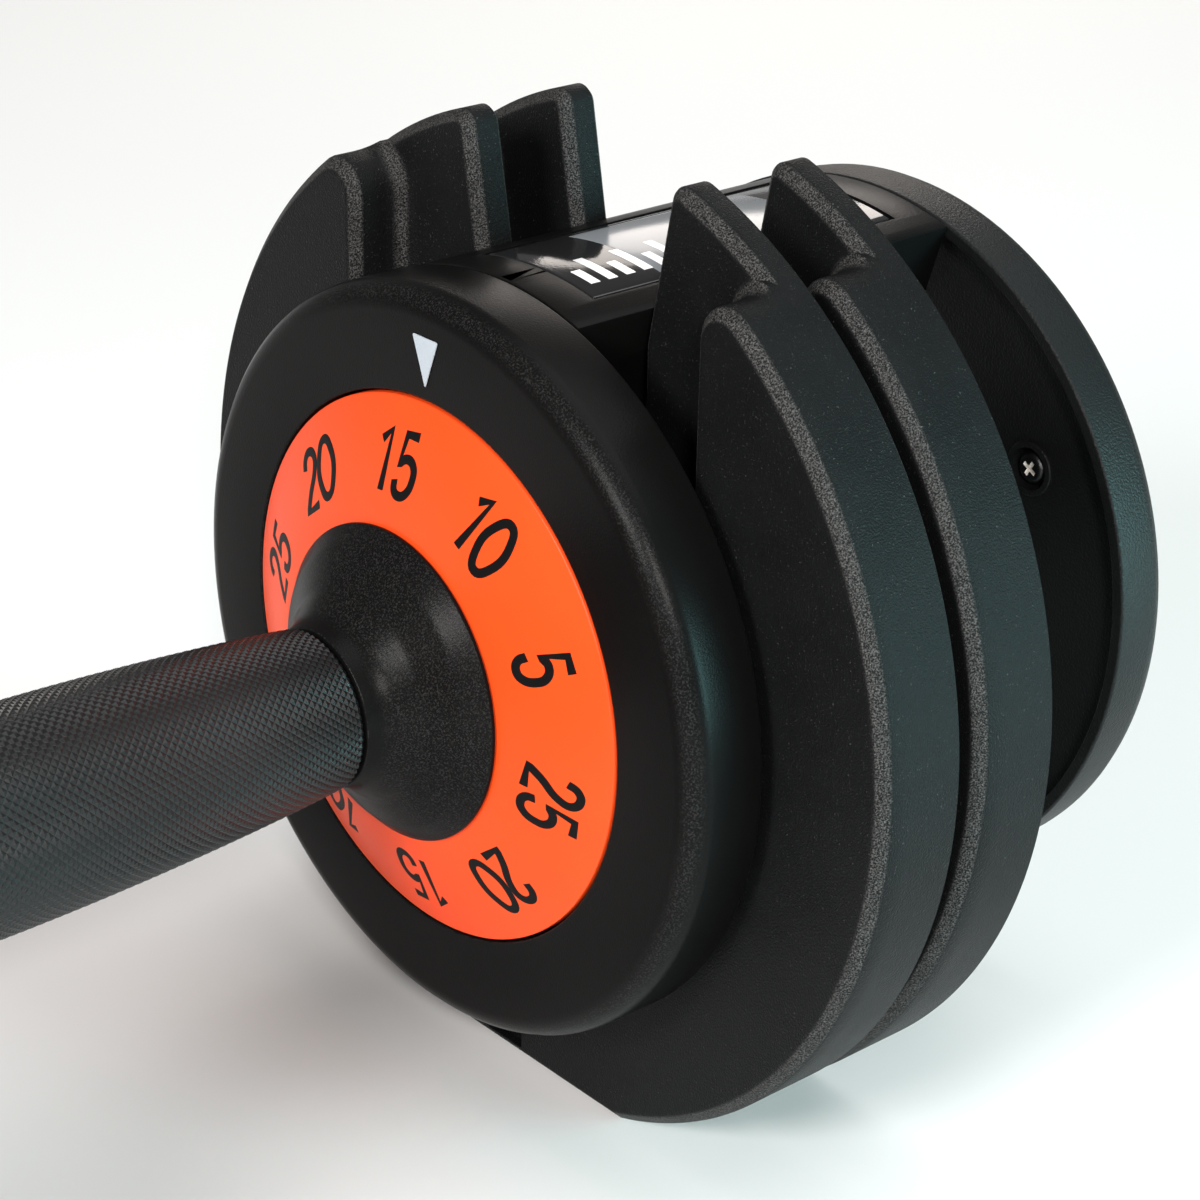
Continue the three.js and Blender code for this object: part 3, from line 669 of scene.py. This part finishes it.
def bridge():
    inner = DISC_RADIUS - BRIDGE_DEPTH
    outside = bevel_sharp(ring_block(BRIDGE_START, BRIDGE_END, inner, DISC_RADIUS,
                                     BRIDGE_HALF_ANGLE), 0.35)
    hollow = ring_block(BRIDGE_START + BRIDGE_END_WALL, BRIDGE_END - BRIDGE_END_WALL, inner - 5,
                        CHANNEL_RADIUS, CHANNEL_HALF_ANGLE)
    recess = ring_block(RECESS_START, RECESS_END, DISC_RADIUS - RECESS_DEPTH, DISC_RADIUS + 4.7,
                        RECESS_HALF_ANGLE)
    lugs = []
    for side in (-1, 1):
        start = BRIDGE_START + 0.05
        across = sorted((side * LUG["inner"], side * LUG["outer"]))
        lug = box((start, start + LUG["length"]), across, (LUG["bottom"], LUG["top"]))
        lugs.append(bevel_sharp(lug, 0.3))
    return combined(combined(outside, [hollow, recess]), lugs, "UNION")


label_film = finish_material("label_film", (0.01, 0.01, 0.011), (0.014, 0.014, 0.015), 0.08, 0.6,
                             0.02, patch=20, spread=0.02)
label_grey = finish_material("label_grey", (0.15, 0.165, 0.18), (0.24, 0.26, 0.28), 0.14, 0.6,
                             0.02, patch=20, spread=0.02)
label_white = finish_material("label_white", (0.8, 0.82, 0.84), (0.86, 0.88, 0.9), 0.15, 0.6, 0.02)


def label_plate(x0, x1, lift, half_angle, thick):
    back = DISC_RADIUS - LABEL_BACK + lift
    return bevel_sharp(ring_block(x0, x1, back, back + thick, half_angle), 0.3, 3)


def label_mark(x0, x1, from_angle, to_angle):
    """One block of the label's pattern, a hair under the dome's top."""
    bm = ring_block(x0, x1, DISC_RADIUS - 0.14, DISC_RADIUS - 0.04, (to_angle - from_angle) / 2, 4)
    turn = math.radians((from_angle + to_angle) / 2)
    bmesh.ops.rotate(bm, cent=(0, 0, 0), matrix=Matrix.Rotation(turn, 3, "X"), verts=bm.verts)
    return bm


for side in SIDES:
    settle(f"bridge_channel_{side}", bridge(), head_place(side), satin_black, "frame",
           [f"bridge_{side}"], sharp=40)
    settle(f"label_plate_{side}", label_plate(**LABEL), head_place(side), label_film,
           "frame", [f"label_{side}"], sharp=50)
    settle(f"label_band_{side}", label_plate(**LABEL_BAND), head_place(side), label_grey,
           "frame", sharp=50)
    for i in range(6):
        x = MARK_START + MARK_PITCH * i
        mark = label_mark(x, x + MARK_LENGTH, MARK_BOTTOMS[i % 2], MARK_TOP)
        settle(f"label_mark_{i + 1}_{side}", mark, head_place(side), label_white, "frame",
               sharp=50)

# ------------------------------------------------------------------ plates
# Cast iron under a black textured powder coat. A thin web carries two horns beside the slot, and
# the rim is thickened on the grip's side. Its edges are cast with a chamfer, rubbed lighter.

PLATE_NEAR, PLATE_WEB, PLATE_FAR, PLATE_PITCH = 15, 23.6, 29.7, 17.84
PLATE_RADIUS, PLATE_CENTRE = 74.4, 0.8
SLOT_HALF, SLOT_LEAN_FROM, SLOT_LEAN, HORN_ROUND = 16.6, 48.6, 11.0, 2.7
POCKET_HALF, POCKET_BOTTOM, POCKET_ROUND = 36, -18, 5.2
TAB_HALF, TAB_TOP, TAB_BOTTOM, TAB_REACH = 3.3, -9.2, -12.1, 5.6
NEAR_CHAMFER = [(0, 2.3), (0, 1.8), (0.22, 1.4), (1.4, 0.22), (1.8, 0)]  # along x, inwards
FAR_CHAMFER = [(-0.8, 0), (0, 0.8), (0, 1.2)]
CAST_MARK = {"depth": 1.4, "y": (-3.4, 4.4), "z": (-67.2, -62.6)}
RIM_BLEND = [(5.2, 0), (6.6, 0.2), (7.6, 0.7), (8.2, 1.3), (8.6, 2)]  # x, and spread


def horn_corner(half, lean, corner):
    """Where the round between the slot's side and the plate's edge has its centre."""
    foot = Vector((half, SLOT_LEAN_FROM - PLATE_CENTRE))
    foot += Vector((math.cos(lean), -math.sin(lean))) * corner
    along = Vector((math.sin(lean), math.cos(lean)))
    b = foot.dot(along)
    reach = -b + math.sqrt(b * b - foot.length_squared + (PLATE_RADIUS - corner) ** 2)
    return foot + along * reach


def plate_outline(half, bottom, lean, corner, inset, spread=0):
    """A plate's contour round an open-topped slot, some way inside its true edge.

    The spread draws the slot narrower and leaves the rest alone.
    """
    lean = math.radians(lean)
    edge = horn_corner(half, lean, corner)
    out = math.atan2(edge.y, edge.x)
    half -= spread
    centre = horn_corner(half, lean, corner)
    points = []
    for step in range(9):
        turn = out + (math.pi - lean - out) * step / 8
        arm = Vector((math.cos(turn), math.sin(turn))) * (corner - inset)
        points.append(centre + arm + Vector((0, PLATE_CENTRE)))
    away = Vector((math.cos(lean), -math.sin(lean)))
    points.append(Vector((half, SLOT_LEAN_FROM)) + away * inset)
    for step in range(24):
        turn = -math.pi / 2 * step / 24
        arm = Vector((math.cos(turn), math.sin(turn))) * (half + inset)
        points.append(arm + Vector((0, bottom)))
    other = [Vector((-p.x, p.y)) for p in reversed(points)]
    points += [Vector((0, bottom - half - inset))] + other
    step = math.radians(1.5)
    for i in range(math.ceil((math.pi - out) / step), math.floor((2 * math.pi + out) / step) + 1):
        arm = Vector((math.cos(i * step), math.sin(i * step))) * (PLATE_RADIUS - inset)
        points.append(Vector((arm.x, max(arm.y + PLATE_CENTRE, inset - AXIS_Z))))
    return points


def lofted(outline, stations):
    """A solid that follows one outline through several x, each with its own inset."""
    bm = bmesh.new()
    x, inset = stations[0]
    first = face = bm.faces.new([bm.verts.new((x, *p)) for p in outline(inset)])
    for x, inset in stations[1:]:
        made = bmesh.ops.extrude_face_region(bm, geom=[face])["geom"]
        if face is not first:
            bmesh.ops.delete(bm, geom=[face], context="FACES_ONLY")
        face = next(part for part in made if isinstance(part, bmesh.types.BMFace))
        for vert, point in zip(face.verts, outline(inset)):
            vert.co = (x, *point)
    return bm


def plate():
    near = [(PLATE_NEAR + x, inset) for x, inset in NEAR_CHAMFER]
    web = [(PLATE_WEB + x, inset) for x, inset in NEAR_CHAMFER]
    far = [(PLATE_FAR + x, inset) for x, inset in FAR_CHAMFER]

    def slotted(inset):
        return plate_outline(SLOT_HALF, 0, SLOT_LEAN, HORN_ROUND, inset)

    def pocketed(inset):  # below nothing, it is how far the rim has spread into the pocket
        return plate_outline(POCKET_HALF, POCKET_BOTTOM, 0, POCKET_ROUND, max(inset, 0),
                             max(-inset, 0))

    blend = [(PLATE_NEAR + x, -spread) for x, spread in RIM_BLEND]
    thick_rim = lofted(pocketed, near + blend + [(web[-1][0], blend[-1][1])])
    stem = box((PLATE_WEB + 0.1, PLATE_FAR - 0.1), (-TAB_HALF, TAB_HALF), (-SLOT_HALF - 3, TAB_TOP))
    tab = box((PLATE_WEB - TAB_REACH, PLATE_WEB + 2), (-TAB_HALF, TAB_HALF), (TAB_BOTTOM, TAB_TOP))
    body = combined(lofted(slotted, web + far), [thick_rim, stem, tab], "UNION")
    cast_mark = box((PLATE_NEAR - 1, PLATE_NEAR + CAST_MARK["depth"]), CAST_MARK["y"],
                    CAST_MARK["z"])
    return combined(body, [cast_mark])


iron = finish_material("coated_iron", (0.0035, 0.0037, 0.004), (0.0075, 0.008, 0.0084), 0.46,
                       0.28, 0.5, patch=9, spread=0.06, specular=0.1)
mix_wear_and_sheen_specks(iron, 0.22, 0.42, 0.76, (0.11, 0.107, 0.104))
mix_wear_and_sheen_specks(iron, 0.28, 0.68, 0.8, (0.12, 0.117, 0.114), "Specks")
for side in SIDES:
    for number in (1, 2):
        bm = moved(plate(), 0, 0, PLATE_PITCH * (number - 1))
        settle(f"weight_plate_{number}_{side}", bm, head_place(side), iron, "frame",
               [f"plate_{number}_{side}"], sharp=35)

# ------------------------------------------------------------------ selectors
# Four black nylon drums on the turning sleeve, one for each plate. A drum's rim passes under the
# plate's tab and carries it, and is cut away at the weights that leave that plate in the tray.

SELECTOR_X, SELECTOR_WEB, SELECTOR_LENGTH = 15.6, 1.8, 7
SELECTOR_OUTER, SELECTOR_INNER, SELECTOR_HUB, SELECTOR_BORE = 15.9, 12.9, 8.6, 7.5
RELEASE_HALF_ANGLE = 17
HELD_PLATES = [2, 1, 0, 4, 3]  # held at stations 15, 10, 5, 25 and 20
SLEEVE_END, RETAINER = 85.8, 1.8  # the last hub leaves room for its retaining ring

black_nylon = finish_material("black_nylon", (0.01, 0.01, 0.0105), (0.016, 0.016, 0.0166), 0.5, 0.4,
                              0.12, patch=14, specular=0.35)


def selector(number):
    x, length = SELECTOR_X, SELECTOR_LENGTH
    hub_end = x + PLATE_PITCH - 0.3
    if number == 4:
        hub_end = SLEEVE_END - RETAINER - PLATE_PITCH * 3
    drum = turned([[x, SELECTOR_BORE], [x, SELECTOR_OUTER, 0.4], [x + length, SELECTOR_OUTER, 0.4],
                   [x + length, SELECTOR_INNER, 0.3], [x + SELECTOR_WEB, SELECTOR_INNER, 1],
                   [x + SELECTOR_WEB, SELECTOR_HUB, 1], [hub_end, SELECTOR_HUB, 0.4],
                   [hub_end, SELECTOR_BORE]], 96, 3)
    gaps = []
    for station in range(STATIONS):
        if HELD_PLATES[station % len(WEIGHTS)] < number:
            gap = ring_block(x + SELECTOR_WEB + 0.2, x + length + 1, SELECTOR_INNER - 1,
                             SELECTOR_OUTER + 1, RELEASE_HALF_ANGLE, 8)
            bmesh.ops.rotate(gap, cent=(0, 0, 0), verts=gap.verts,
                             matrix=Matrix.Rotation(math.radians(STATION_STEP * station), 3, "X"))
            gaps.append(gap)
    bm = combined(drum, gaps) if gaps else drum
    return moved(bm, 0, 0, PLATE_PITCH * (number - 1))


for side in SIDES:
    for number in (1, 2, 3, 4):
        settle(f"selector_drum_{number}_{side}", selector(number), head_place(side), black_nylon,
               "drive", [f"selector_{number}_{side}"], sharp=30)

# ------------------------------------------------------------------ what stays inside
# The bar, tube, sleeve, bushes, detents and fixings are plain turned or moulded parts. Their CAD
# shapes are right as they are, and only take their finishes here.

tube_steel = finish_material("tube_steel", (0.5, 0.5, 0.5), (0.6, 0.6, 0.6), 0.3, 0.3, 0.1,
                             metal=1.0)
CAD_FINISHES = {"black_nylon": black_nylon, "coated_iron": iron, "bright_steel": tube_steel,
                "dark_steel": black_steel}
slots = {part["node"]: part["material_slot"] for part in frame["record"]["subparts"]}
for node, shown in frame["nodes"].items():
    if not shown.hide_render:
        shown.data.materials.clear()
        shown.data.materials.append(CAD_FINISHES[slots[node]])
